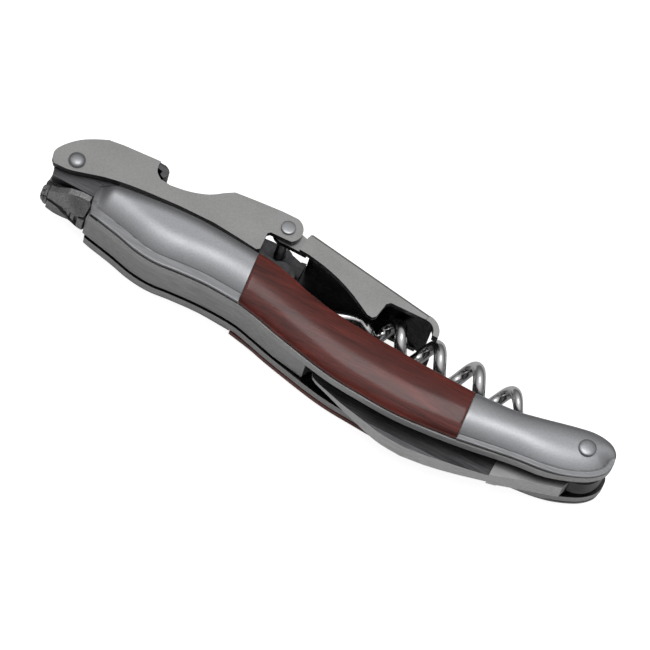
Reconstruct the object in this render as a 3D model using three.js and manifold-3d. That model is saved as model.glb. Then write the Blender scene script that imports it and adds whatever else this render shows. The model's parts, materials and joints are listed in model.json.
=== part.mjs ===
// Two-step lever corkscrew: folding handle with wood scales, hinged lever, worm and foil knife.
// Millimetres. +X runs from the lever hinge to the tail, +Y is the lever side, +Z is across the handle.
import * as THREE from 'three';
import { mergeVertices } from 'three/addons/utils/BufferGeometryUtils.js';
import Module from 'manifold-3d';

const wasm = await Module();
wasm.setup();

// Layers across the handle, measured from its middle plane.
const GAP = 0.3;
const PIN_GAP = 0.1;
const LINER_IN = 3.3;
const LINER_OUT = 5.1;
const SCALE_IN = LINER_OUT + GAP;
const SCALE_SHOULDER = 6.3;
const SCALE_TOP = 7.9;
const CROWN_WIDTH = 2.8;
const TAIL_CROWN = 7.1;
const SPRING_HALF = LINER_IN - GAP;
const WALL_IN = LINER_OUT + GAP;
const WALL_OUT = 6.6;
const SHEET = WALL_OUT - WALL_IN;

// Middle of the closed tool in the coordinates of this drawing: it becomes the model's origin.
const ORIGIN = [0.038, -1.201];

// Pivots, all parallel to Z.
const LEVER_HINGE = [-56.8, 3.2];
const MIDDLE_HINGE = [-14.9, 11.5];
const WORM_HINGE = [-12, 2.4];
const KNIFE_HINGE = [55.7, -1.5];
const SPRING_PINS = [[-45, -3], [-9, -5.6]];

const LEVER_PIN_R = 1.3;
const LEVER_HEAD_R = 1.65;
const MIDDLE_PIN_R = 1.1;
const MIDDLE_HEAD_R = 1.45;
const WORM_PIN_R = 1.2;
const KNIFE_PIN_R = 1.5;
const KNIFE_HEAD_R = 1.8;
const SPRING_PIN_R = 1.0;
const HINGE_LUG_R = 4.1;
const WORM_LUG_R = 2.9;
const BOSS_R = 3.0;
const TAB_R = 1.9;
const TANG_R = 5.2;
const WASHER_R = 4.2;

// Worm.
const WIRE_R = 1.15;
const COIL_R = 3.05;
const PITCH = 8.6;
const TURNS = 4.35;
const COIL_START = 5.35;
const COIL_SLOPE = -0.03;
const EYE_R = 2.5;

// Knife.
const BLADE_HALF = 1.9;
const EDGE_HALF = 0.25;

const steel = new THREE.Color(0xb9b7b4);
const finishes = {
  satin: { color: steel, roughness: 0.34, metalness: 1 },
  sheet: { color: new THREE.Color(0x9c9a97), roughness: 0.5, metalness: 1 },
  liner: { color: new THREE.Color(0x8f8e8c), roughness: 0.42, metalness: 1 },
  chrome: { color: new THREE.Color(0xd5d6d8), roughness: 0.08, metalness: 1 },
  cast: { color: new THREE.Color(0x77777a), roughness: 0.45, metalness: 1 },
  wood: { color: new THREE.Color(0x5a2a22), roughness: 0.42, metalness: 0 },
};

const group = new THREE.Group();
group.name = 'lever_corkscrew';

function toSolid(geometry) {
  const bare = geometry.clone();
  bare.deleteAttribute('normal');
  bare.deleteAttribute('uv');
  const merged = mergeVertices(bare, 1e-4);
  const mesh = new wasm.Mesh({
    numProp: 3,
    vertProperties: new Float32Array(merged.attributes.position.array),
    triVerts: new Uint32Array(merged.index.array),
  });
  return new wasm.Manifold(mesh);
}

function toGeometry(solid) {
  const mesh = solid.getMesh();
  const geometry = new THREE.BufferGeometry();
  geometry.setAttribute('position', new THREE.BufferAttribute(mesh.vertProperties, 3));
  geometry.setIndex(new THREE.BufferAttribute(mesh.triVerts, 1));
  geometry.computeVertexNormals();
  return geometry;
}

function addPart(name, finish, solid, parent = group) {
  const material = new THREE.MeshStandardMaterial({ ...finishes[finish], name: finish });
  const geometry = toGeometry(solid);
  geometry.translate(-ORIGIN[0], -ORIGIN[1], 0);
  const mesh = new THREE.Mesh(geometry, material);
  mesh.name = name;
  parent.add(mesh);
  return mesh;
}

// A closed outline: each stretch is one [x, y] corner or a list of points joined by a smooth curve.
function outline(stretches) {
  const shape = new THREE.Shape();
  let started = false;
  for (const stretch of stretches) {
    const points = Array.isArray(stretch[0]) ? stretch : [stretch];
    const [x, y] = points[0];
    if (started) {
      shape.lineTo(x, y);
    } else {
      shape.moveTo(x, y);
      started = true;
    }
    if (points.length > 1) {
      shape.splineThru(points.slice(1).map((p) => new THREE.Vector2(p[0], p[1])));
    }
  }
  return shape;
}

function plate(shape, low, high, fineness = 3) {
  const options = { depth: high - low, bevelEnabled: false, curveSegments: fineness };
  const geometry = new THREE.ExtrudeGeometry(shape, options);
  geometry.translate(0, 0, low);
  return toSolid(geometry);
}

function box(x0, x1, y0, y1, z0, z1) {
  const geometry = new THREE.BoxGeometry(x1 - x0, y1 - y0, z1 - z0);
  geometry.translate((x0 + x1) / 2, (y0 + y1) / 2, (z0 + z1) / 2);
  return toSolid(geometry);
}

// A turned piece standing along Z at a pivot; the profile lists [radius, height] from low to high.
function turned([x, y], profile, sides = 28) {
  const points = profile.map(([radius, height]) => new THREE.Vector2(radius, height));
  const geometry = new THREE.LatheGeometry(points, sides);
  geometry.rotateX(Math.PI / 2);
  geometry.translate(x, y, 0);
  return toSolid(geometry);
}

function rod(place, radius, low, high, sides = 28) {
  return turned(place, [[0, low], [radius, low], [radius, high], [0, high]], sides);
}

function circlePoints([x, y], radius, from, to, count) {
  const points = [];
  for (let i = 0; i <= count; i += 1) {
    const angle = THREE.MathUtils.degToRad(from + ((to - from) * i) / count);
    points.push([x + radius * Math.cos(angle), y + radius * Math.sin(angle)]);
  }
  return points;
}

// The same solid on the other side of the middle plane.
function mirrored(solid) {
  const geometry = toGeometry(solid);
  geometry.scale(1, 1, -1);
  const index = geometry.index.array;
  for (let i = 0; i < index.length; i += 3) {
    [index[i], index[i + 1]] = [index[i + 1], index[i]];
  }
  return toSolid(geometry);
}

// Handle edges shared by the scales, the liners and the spring.
const BACK_EDGE = [
  [-49.3, -5.3],
  [-43, -6.6],
  [-38.2, -7.8],
  [-33.8, -8.2],
  [-29, -7.7],
  [-23, -7.3],
  [-16, -7.5],
  [-11, -8.6],
  [-6, -9.9],
  [5, -12.2],
  [13, -12.9],
  [21.5, -13.1],
  [33, -11.9],
  [44, -9.9],
  [50.2, -9.1],
];
const TAIL_END = [
  [54.5, -8],
  [58.6, -6],
  [60.9, -3.7],
  [61.6, -1.3],
  [61.1, 0.9],
  [59.2, 2.4],
  [56, 2.8],
  [52, 2],
];
const WORM_EDGE = [
  [45, 0],
  [40, -1.2],
  [34.5, -2],
  [20, -1.7],
  [8, -1.1],
  [1, -0.5],
  [-5, 0.7],
];

function shifted(points, dy) {
  return points.map(([x, y]) => [x, y + dy]);
}

// Liners: flat plates with a lug at each pivot of the lever and the worm.
function linerShape() {
  const shape = outline([
    [...shifted(BACK_EDGE, -0.3), ...TAIL_END, ...WORM_EDGE],
    circlePoints(WORM_HINGE, WORM_LUG_R, -10, 130, 6),
    [[-17, 5.2], [-20, 6], [-26, 6.4], [-36, 6.2], [-46, 5.2], [-51, 5.6]],
    circlePoints(LEVER_HINGE, HINGE_LUG_R, 60, 215, 8),
    [-59.6, -1.3],
    [-50.4, -1.3],
    [-49.8, -2],
  ]);
  return shape;
}

function makeLiner() {
  let solid = plate(linerShape(), LINER_IN, LINER_OUT);
  const pins = [
    [LEVER_HINGE, LEVER_PIN_R],
    [WORM_HINGE, WORM_PIN_R],
    [KNIFE_HINGE, KNIFE_PIN_R],
    [SPRING_PINS[0], SPRING_PIN_R],
    [SPRING_PINS[1], SPRING_PIN_R],
  ];
  for (const [place, radius] of pins) {
    solid = solid.subtract(rod(place, radius + PIN_GAP, LINER_IN - 1, LINER_OUT + 1));
  }
  return solid;
}

const liner = makeLiner();
addPart('front_liner', 'liner', liner);
addPart('back_liner', 'liner', mirrored(liner));

// Bolsters and wood scales: one crowned blank, sliced where wood meets metal.
function crownBlank() {
  const shape = outline([
    [...BACK_EDGE, ...TAIL_END, ...WORM_EDGE],
    [[-9, 1.9], [-13, 2.9], [-18, 3.5], [-28, 4.1], [-35, 3.9], [-41.5, 3.1], [-48.2, 2]],
    [-49.7, -1.6],
  ]);
  const crownHeight = SCALE_TOP - SCALE_SHOULDER;
  const geometry = new THREE.ExtrudeGeometry(shape, {
    depth: 4,
    bevelThickness: crownHeight,
    bevelSize: CROWN_WIDTH,
    bevelOffset: -CROWN_WIDTH,
    bevelSegments: 4,
    curveSegments: 2,
  });
  geometry.translate(0, 0, SCALE_SHOULDER - 4);
  return toSolid(geometry).intersect(box(-80, 80, -30, 30, SCALE_IN, 20));
}

function slicer(xTop, xBottom, side) {
  const far = side * 90;
  const shape = outline([
    [xTop, 20],
    [xBottom, -20],
    [far, -20],
    [far, 20],
  ]);
  return plate(shape, 0, 20);
}

const HEAD_JOINT = [-19.0, -14.6];
const TAIL_JOINT = [30.0, 33.6];
const half = GAP / 2;
let blank = crownBlank();
const tailSlope = outline([
  [20, SCALE_TOP],
  [20, 20],
  [70, 20],
  [70, TAIL_CROWN - 0.1],
  [58, TAIL_CROWN],
]);
const slopeCutter = toSolid(
  new THREE.ExtrudeGeometry(tailSlope, { depth: 60, bevelEnabled: false })
    .translate(0, 0, -30)
    .rotateX(Math.PI / 2),
);
blank = blank.subtract(slopeCutter);
blank = blank.subtract(rod(KNIFE_HINGE, KNIFE_PIN_R + PIN_GAP, 0, 20));
const leftOfHead = slicer(HEAD_JOINT[0] - half, HEAD_JOINT[1] - half, -1);
const rightOfHead = slicer(HEAD_JOINT[0] + half, HEAD_JOINT[1] + half, 1);
const leftOfTail = slicer(TAIL_JOINT[0] - half, TAIL_JOINT[1] - half, -1);
const rightOfTail = slicer(TAIL_JOINT[0] + half, TAIL_JOINT[1] + half, 1);
const headBolster = blank.intersect(leftOfHead);
const woodScale = blank.intersect(rightOfHead).intersect(leftOfTail);
const tailBolster = blank.intersect(rightOfTail);
addPart('front_head_bolster', 'satin', headBolster);
addPart('back_head_bolster', 'satin', mirrored(headBolster));
addPart('front_wood_scale', 'wood', woodScale);
addPart('back_wood_scale', 'wood', mirrored(woodScale));
addPart('front_tail_bolster', 'satin', tailBolster);
addPart('back_tail_bolster', 'satin', mirrored(tailBolster));

// Backspring: forms the back of the head, then runs inside the handle to the knife tang.
function makeSpring() {
  const shape = outline([
    [-60, -1.3],
    [-50.2, -1.3],
    [-50, -5.1],
    BACK_EDGE.slice(0, 9),
    [[0.8, -11.1]],
    [[1.4, -9.6], [5, -7.8], [20, -6.9], [38, -5.6]],
    [49.4, -4.4],
    [49.2, -2.2],
    [[38, -3.1], [20, -4.4], [4, -5.2], [-9, -3.8], [-20, -4.3], [-34, -4.9], [-42, -2.2]],
    [[-47, 0.2], [-51, 0.9], [-57, 0.9], [-60, 0.6]],
  ]);
  let solid = plate(shape, -SPRING_HALF, SPRING_HALF);
  for (const place of SPRING_PINS) {
    solid = solid.subtract(rod(place, SPRING_PIN_R + PIN_GAP, -10, 10));
  }
  return solid;
}
addPart('backspring', 'liner', makeSpring());

SPRING_PINS.forEach((place, index) => {
  const name = index === 0 ? 'spring_pin_head' : 'spring_pin_middle';
  addPart(name, 'satin', rod(place, SPRING_PIN_R, -LINER_OUT, LINER_OUT, 20));
});

// Bee ornament: a cast shield under the hinge, domed across the handle, with a head and two wings.
function makeBee() {
  const plan = outline([
    [[-60.7, 0], [-60.5, 1.8], [-59.2, 2.9], [-58, 3]],
    [[-57.2, 3.7], [-55, 4.4], [-52.6, 4.6], [-51.1, 4.2], [-50.6, 2.9], [-51.4, 1.5]],
    [[-51.4, -1.5], [-50.6, -2.9], [-51.1, -4.2], [-52.6, -4.6], [-55, -4.4], [-57.2, -3.7]],
    [[-58, -3], [-59.2, -2.9], [-60.5, -1.8], [-60.7, 0]],
  ]);
  const upright = { depth: 6, bevelEnabled: false, curveSegments: 3 };
  const shield = new THREE.ExtrudeGeometry(plan, upright);
  shield.rotateX(-Math.PI / 2);
  shield.translate(0, -7, 0);
  const domeR = 5.8;
  const dome = new THREE.CylinderGeometry(domeR, domeR, 30, 40, 1);
  dome.rotateZ(Math.PI / 2 - THREE.MathUtils.degToRad(13));
  dome.translate(-56, domeR - 3.8, 0);
  const back = outline([[-70, -4], [-60.7, -2.5], [-54, -1.6], [-40, -1.6], [-40, 10], [-70, 10]]);
  const seam = outline([[-60.9, -0.12], [-50, -0.5], [-50, 0.5], [-60.9, 0.12]]);
  const groove = new THREE.ExtrudeGeometry(seam, { depth: 2.4, bevelEnabled: false });
  groove.rotateX(-Math.PI / 2);
  groove.rotateZ(THREE.MathUtils.degToRad(-13));
  groove.translate(-12.6, -18, 0);
  return toSolid(shield)
    .intersect(toSolid(dome))
    .subtract(plate(back, -20, 20))
    .subtract(toSolid(groove));
}
addPart('bee_ornament', 'cast', makeBee());

// First lever step: a folded sheet channel with the cap lifter notch in its top.
const leverArm = new THREE.Group();
leverArm.name = 'lever_arm_pivot';
group.add(leverArm);

function makeLeverArm() {
  const wall = outline([
    [[-60.4, 0.4], [-57.3, 0.6], [-54, 1.6], [-50.7, 2.7], [-46.6, 3.6], [-42, 4.2], [-35, 4.8]],
    [[-27.7, 5], [-22, 4.5], [-18.2, 4.1]],
    [-17.6, 4.6],
    [-17.9, 8.4],
    [-17.4, 8.9],
    circlePoints(MIDDLE_HINGE, BOSS_R, -52, 75, 8),
    [[-17.5, 14.3], [-22.4, 13.8], [-27.3, 13.2]],
    [[-29, 12], [-30.8, 10.5], [-32.6, 9.5], [-35.5, 8.5], [-38.9, 7.9]],
    [[-41, 8.1], [-42.3, 9.2], [-42.8, 10.6]],
    [-42.8, 11.7],
    [-50.4, 11.1],
    [[-53.6, 10.6], [-56, 9.3], [-58.4, 7.6], [-60.4, 5.3], [-61.5, 3.1], [-61.2, 1.4]],
  ]);
  let solid = plate(wall, -WALL_OUT, WALL_OUT);
  const rearPocket = outline([
    [-70, -5],
    [-35, -5],
    [-35, 20],
    [-41.2, 20],
    [-41.2, 8.6],
    [-42.6, 8.6],
    [-42.4, 10.5],
    [-50.4, 9.9],
    [-54, 9.1],
    [-54, 20],
    [-70, 20],
  ]);
  const frontPocket = outline([
    [-36, -5],
    [-5, -5],
    [-5, 20],
    [-19.4, 20],
    [-19.4, 12.9],
    [-22.4, 12.5],
    [-26.6, 12],
    [-29.2, 10.1],
    [-30.2, 20],
    [-36, 20],
  ]);
  solid = solid.subtract(plate(rearPocket, -WALL_IN, WALL_IN));
  solid = solid.subtract(plate(frontPocket, -WALL_IN, WALL_IN));
  const tooth = outline([
    [-43.6, 11.62],
    [[-41.6, 11.6], [-40.6, 11], [-40.2, 10], [-40.8, 8.8]],
    [-41.7, 9.3],
    [-41.6, 10.1],
    [-43.4, 10.45],
  ]);
  solid = solid.add(plate(tooth, -6.2, 6.2));
  solid = solid.subtract(rod(LEVER_HINGE, LEVER_PIN_R + PIN_GAP, -10, 10));
  solid = solid.subtract(rod(MIDDLE_HINGE, MIDDLE_PIN_R + PIN_GAP, -10, 10));
  return solid;
}
addPart('lever_arm', 'sheet', makeLeverArm(), leverArm);

function rivet(place, shaftR, headR, seat, headHeight, dome) {
  const top = seat + headHeight;
  const rim = top - dome;
  const profile = [[0, -top]];
  const bottomDome = [];
  for (let i = 1; i <= 4; i += 1) {
    const angle = (Math.PI / 2) * (i / 4);
    bottomDome.push([headR * Math.sin(angle), rim + dome * Math.cos(angle)]);
  }
  bottomDome.forEach(([radius, height]) => profile.push([radius, -height]));
  profile.push([headR, -seat], [shaftR, -seat], [shaftR, seat], [headR, seat]);
  bottomDome.reverse().forEach(([radius, height]) => profile.push([radius, height]));
  profile.push([0, top]);
  return turned(place, profile.filter((point, index) => {
    const previous = profile[index - 1];
    return !previous || Math.hypot(point[0] - previous[0], point[1] - previous[1]) > 1e-6;
  }));
}

const LEVER_SEAT = WALL_OUT + PIN_GAP;
addPart('lever_hinge_pin', 'satin', rivet(LEVER_HINGE, LEVER_PIN_R, LEVER_HEAD_R, LEVER_SEAT, 0.8, 0.5));
const middlePin = rivet(MIDDLE_HINGE, MIDDLE_PIN_R, MIDDLE_HEAD_R, LEVER_SEAT, 0.45, 0.1);
addPart('lever_middle_pin', 'satin', middlePin, leverArm);
const knifePin = rivet(KNIFE_HINGE, KNIFE_PIN_R, KNIFE_HEAD_R, TAIL_CROWN + 0.15, 0.62, 0.25);
addPart('knife_pivot_pin', 'satin', knifePin);

// Second lever step: wider channel, joggled tabs inside the first step, curled horns at the foot.
const leverFoot = new THREE.Group();
leverFoot.name = 'lever_foot_pivot';
leverArm.add(leverFoot);

function makeLeverFoot() {
  const wall = outline([
    [-10.9, 8.5],
    [[-8.8, 8.4], [-5, 7.7], [-1.3, 6.6], [2.2, 5.1], [5.4, 3.3], [6.6, 2.6]],
    [[7.7, 2.5], [8.3, 3.1]],
    [8.8, 6.6],
    [9.5, 7.3],
    [16.9, 7.6],
    [17.1, 9],
    [-9.9, 13],
    [-10.5, 12.4],
  ]);
  let solid = plate(wall, -WALL_OUT, WALL_OUT);
  const slope = (9 - 13) / 27;
  const under = (x) => 13 + slope * (x + 9.9) - SHEET * 1.01;
  const pocket = outline([
    [-15, 0],
    [20, 0],
    [20, under(20)],
    [-9.2, under(-9.2)],
    [-9.2, 20],
    [-15, 20],
  ]);
  solid = solid.subtract(plate(pocket, -WALL_IN, WALL_IN));
  const horns = outline([
    [16.9, 7.81],
    circlePoints([17, 5.4], 2.4, 88, 0, 5),
    circlePoints([17, 5.4], 3.6, 0, 88, 6),
    [16.9, 9],
  ]);
  const archTop = box(18.6, 30, 0, 20, -4.4, 4.4);
  solid = solid.add(plate(horns, -6.2, 6.2).subtract(archTop));
  const tabIn = WALL_IN - GAP - SHEET;
  const tabOut = WALL_IN - GAP;
  const tab = outline([
    circlePoints(MIDDLE_HINGE, TAB_R, 60, 180, 7),
    circlePoints(MIDDLE_HINGE, BOSS_R - 0.3, 215, 285, 4),
    [-9.4, 8.9],
    [-9.4, 11.8],
  ]);
  const joggle = outline([[-10.7, 8.9], [-9.4, 8.9], [-9.4, 12.5], [-10.4, 12.3], [-10.7, 11.8]]);
  const side = plate(tab, tabIn, tabOut).add(plate(joggle, tabIn, WALL_OUT - 0.1));
  solid = solid.add(side).add(mirrored(side));
  return solid.subtract(rod(MIDDLE_HINGE, MIDDLE_PIN_R + PIN_GAP, -10, 10));
}
addPart('lever_foot', 'sheet', makeLeverFoot(), leverFoot);

// Worm: an eye on the pivot, a straight shank, an open coil and a sharpened point.
class WormPath extends THREE.Curve {
  getPoint(t, target = new THREE.Vector3()) {
    const turn = t * (TURNS + 0.75) - 0.75;
    if (turn < 0) {
      const x = COIL_START + (turn / 0.75) * (COIL_START - WORM_HINGE[0] - 1.9);
      const rise = THREE.MathUtils.smoothstep(x, -0.5, COIL_START);
      const y = THREE.MathUtils.lerp(WORM_HINGE[1], this.axis(COIL_START), rise);
      return target.set(x, y, 0);
    }
    const x = COIL_START + turn * PITCH;
    const swell = THREE.MathUtils.smoothstep(turn, 0, 0.7);
    const fade = 1 - 0.35 * THREE.MathUtils.smoothstep(turn, TURNS - 1.2, TURNS);
    const radius = COIL_R * swell * fade;
    const angle = 2 * Math.PI * (turn - 0.75);
    return target.set(x, this.axis(x) + radius * Math.cos(angle), radius * Math.sin(angle));
  }

  axis(x) {
    return 4.45 + COIL_SLOPE * x;
  }
}

function makeWorm() {
  const path = new WormPath();
  const steps = 116;
  const circle = new THREE.Shape();
  circle.absarc(0, 0, WIRE_R, 0, 2 * Math.PI);
  const tube = new THREE.ExtrudeGeometry(circle, {
    steps,
    extrudePath: path,
    curveSegments: 7,
    bevelEnabled: false,
  });
  const centres = path.getSpacedPoints(steps);
  const position = tube.attributes.position;
  const vertex = new THREE.Vector3();
  for (let i = 0; i < position.count; i += 1) {
    vertex.fromBufferAttribute(position, i);
    let nearest = 0;
    for (let j = 1; j < centres.length; j += 1) {
      if (centres[j].distanceToSquared(vertex) < centres[nearest].distanceToSquared(vertex)) {
        nearest = j;
      }
    }
    const left = (steps - nearest) / 24;
    const share = left < 1 ? 0.16 + 0.84 * Math.sqrt(left * (2 - left)) : 1;
    vertex.sub(centres[nearest]).multiplyScalar(share).add(centres[nearest]);
    position.setXYZ(i, vertex.x, vertex.y, vertex.z);
  }
  const eye = rod(WORM_HINGE, EYE_R, -WIRE_R, WIRE_R);
  return toSolid(tube).add(eye).subtract(rod(WORM_HINGE, WORM_PIN_R + PIN_GAP, -10, 10));
}
addPart('worm', 'chrome', makeWorm());
addPart('worm_pivot_pin', 'satin', rod(WORM_HINGE, WORM_PIN_R, -LINER_OUT, LINER_OUT, 24));

// Flat rings that fill the space between a pivoting piece and the liners.
function washer(place, outerR, boreR, low) {
  const ring = rod(place, outerR, low + 0.15, LINER_IN - 0.15);
  return ring.subtract(rod(place, boreR + PIN_GAP, 0, 10));
}
const wormSpacer = washer(WORM_HINGE, EYE_R, WORM_PIN_R, WIRE_R);
addPart('worm_spacer_front', 'satin', wormSpacer);
addPart('worm_spacer_back', 'satin', mirrored(wormSpacer));

// Foil knife: hollow ground blade, thick ricasso and a round tang on the tail pivot.
function makeKnife() {
  const bladePlan = outline([
    [[2.4, -10.5], [3.4, -11.9], [7, -13.1], [10.5, -14.2], [14.7, -15.3], [19.6, -16.5], [24.7, -16.8]],
    [[29.3, -16.2], [36, -14.8], [43.5, -12.9]],
    [43.5, -8.6],
    [[34, -8.7], [20, -9.1], [8, -9.6]],
  ]);
  let blade = plate(bladePlan, -BLADE_HALF, BLADE_HALF);
  const grindR = 34;
  for (const side of [-1, 1]) {
    const wheel = new THREE.CylinderGeometry(grindR, grindR, 80, 96, 1);
    wheel.rotateZ(Math.PI / 2);
    wheel.translate(1.5, -5.2, side * (grindR + EDGE_HALF));
    blade = blade.subtract(toSolid(wheel).intersect(box(-10, 41.5, -15.6, 0, -9, 9)));
  }
  const ricasso = outline([
    [42.6, -13.05],
    [54.9, -8.8],
    [55.4, -7.2],
    circlePoints(KNIFE_HINGE, TANG_R, -90, 200, 18),
    [46, -7.2],
    [42.6, -8.4],
  ]);
  const block = plate(ricasso, -BLADE_HALF, BLADE_HALF);
  return blade.add(block).subtract(rod(KNIFE_HINGE, KNIFE_PIN_R + PIN_GAP, -10, 10));
}
addPart('knife_blade', 'satin', makeKnife());

const knifeWasher = washer(KNIFE_HINGE, WASHER_R, KNIFE_PIN_R, BLADE_HALF);
addPart('knife_washer_front', 'satin', knifeWasher);
addPart('knife_washer_back', 'satin', mirrored(knifeWasher));

export default group;
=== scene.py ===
"""Folding lever corkscrew with a two-step lever, wire worm and foil knife, finished in Blender."""

import json
import math
import bmesh
import bpy
from bpy.props import FloatProperty, FloatVectorProperty, IntProperty, PointerProperty
from mathutils import Matrix, Vector
from mathutils.geometry import intersect_point_line


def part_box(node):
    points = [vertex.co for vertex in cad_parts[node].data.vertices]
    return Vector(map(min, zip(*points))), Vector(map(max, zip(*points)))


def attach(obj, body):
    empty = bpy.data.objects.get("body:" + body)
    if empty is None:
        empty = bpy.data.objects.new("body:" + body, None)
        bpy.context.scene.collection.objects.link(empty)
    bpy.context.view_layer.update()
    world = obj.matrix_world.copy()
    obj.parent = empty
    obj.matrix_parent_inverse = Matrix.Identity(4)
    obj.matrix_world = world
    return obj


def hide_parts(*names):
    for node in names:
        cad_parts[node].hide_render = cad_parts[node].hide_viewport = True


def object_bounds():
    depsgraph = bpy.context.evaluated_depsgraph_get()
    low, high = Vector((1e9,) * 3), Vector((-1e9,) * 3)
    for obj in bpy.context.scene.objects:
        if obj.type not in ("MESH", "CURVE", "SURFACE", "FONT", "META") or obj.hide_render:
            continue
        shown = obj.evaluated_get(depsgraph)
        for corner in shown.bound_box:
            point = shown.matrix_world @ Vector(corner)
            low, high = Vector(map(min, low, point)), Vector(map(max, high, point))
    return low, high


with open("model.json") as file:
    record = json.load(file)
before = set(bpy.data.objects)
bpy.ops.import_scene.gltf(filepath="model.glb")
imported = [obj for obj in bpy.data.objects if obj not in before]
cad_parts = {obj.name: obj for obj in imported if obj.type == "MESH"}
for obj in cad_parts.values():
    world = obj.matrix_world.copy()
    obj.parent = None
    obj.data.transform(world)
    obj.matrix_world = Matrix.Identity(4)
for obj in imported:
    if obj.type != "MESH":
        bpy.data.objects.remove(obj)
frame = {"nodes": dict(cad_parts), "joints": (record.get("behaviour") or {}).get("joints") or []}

bl_info = {
    "name": "Lever corkscrew",
    "version": (1, 0, 0),
    "blender": (4, 5, 0),
    "location": "3D View > Sidebar > Corkscrew",
    "description": "Makes the visible pieces of a folding lever corkscrew",
    "category": "Object",
}

CAD_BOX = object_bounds()
MM = 0.001

# Shapes are drawn in millimetres in the handle's own drawing, whose zero is this far from the frame's.
DRAWING = Vector((-0.038, 1.201, 0))
PIVOTS = {joint["name"]: Vector(joint["pos_m"]) / MM - DRAWING for joint in frame["joints"]}


# Sizes and colours that a user may change.


class CorkscrewSizes(bpy.types.PropertyGroup):
    edge_round: FloatProperty(
        name="Edge rounding",
        description="Radius of the small rounding on stamped and ground edges",
        default=0.12 * MM,
        min=0,
        unit="LENGTH",
    )
    bend_radius: FloatProperty(
        name="Sheet bend",
        description="Outside radius of the folds in the lever's sheet",
        default=0.95 * MM,
        min=0,
        unit="LENGTH",
    )
    crown_top: FloatProperty(
        name="Crown height",
        description="Distance from the middle plane to the top of the grips",
        default=7.9 * MM,
        min=0,
        unit="LENGTH",
    )
    crown_foot: FloatProperty(
        name="Grip foot",
        description="Distance from the middle plane to the flat inside of the grips",
        default=5.4 * MM,
        min=0,
        unit="LENGTH",
    )
    wire_radius: FloatProperty(
        name="Worm wire",
        description="Radius of the worm's wire",
        default=1.27 * MM,
        min=0,
        unit="LENGTH",
    )
    coil_radius: FloatProperty(
        name="Worm coil",
        description="Radius of the helix that the middle of the wire follows",
        default=3.05 * MM,
        min=0,
        unit="LENGTH",
    )
    coil_pitch: FloatProperty(
        name="Worm pitch",
        description="Length of one turn of the worm",
        default=8.6 * MM,
        min=0,
        unit="LENGTH",
    )
    coil_turns: FloatProperty(
        name="Worm turns",
        description="Number of turns of the worm",
        default=4.35,
        min=1,
    )
    round_steps: IntProperty(
        name="Roundness",
        description="Number of sides of a turned piece",
        default=56,
        min=12,
    )


class CorkscrewColours(bpy.types.PropertyGroup):
    satin: FloatVectorProperty(
        name="Bolster steel",
        description="Colour of the satin bolsters",
        subtype="COLOR",
        default=(0.46, 0.465, 0.48),
    )
    sheet: FloatVectorProperty(
        name="Lever sheet",
        description="Colour of the matt lever sheet",
        subtype="COLOR",
        default=(0.43, 0.427, 0.42),
    )
    liner: FloatVectorProperty(
        name="Liner steel",
        description="Colour of the liners",
        subtype="COLOR",
        default=(0.46, 0.46, 0.455),
    )
    spring: FloatVectorProperty(
        name="Spring steel",
        description="Colour of the backspring",
        subtype="COLOR",
        default=(0.42, 0.42, 0.42),
    )
    blade: FloatVectorProperty(
        name="Blade steel",
        description="Colour of the knife's spine",
        subtype="COLOR",
        default=(0.62, 0.62, 0.62),
    )
    # Painted shade: this dark colour stands in for the shade and dark reflections inside the handle and
    # lever. The grind's colour and the painted-shade steel's colour are made from it.
    dark: FloatVectorProperty(
        name="Dark steel",
        description="Colour of the polished inside faces",
        subtype="COLOR",
        default=(0.075, 0.075, 0.078),
    )
    chrome: FloatVectorProperty(
        name="Worm plating",
        description="Colour of the plated worm",
        subtype="COLOR",
        default=(0.70, 0.70, 0.705),
    )
    cast: FloatVectorProperty(
        name="Cast steel",
        description="Colour of the cast ornament",
        subtype="COLOR",
        default=(0.33, 0.33, 0.335),
    )
    wood_dark: FloatVectorProperty(
        name="Wood, dark grain",
        description="Colour of the dark streaks in the wood",
        subtype="COLOR",
        default=(0.050, 0.010, 0.007),
    )
    wood_light: FloatVectorProperty(
        name="Wood, light grain",
        description="Colour between the streaks in the wood",
        subtype="COLOR",
        default=(0.345, 0.055, 0.036),
    )
    floor: FloatVectorProperty(
        name="Floor",
        description="Colour of the floor",
        subtype="COLOR",
        default=(0.86, 0.86, 0.86),
    )


# Materials.


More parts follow.
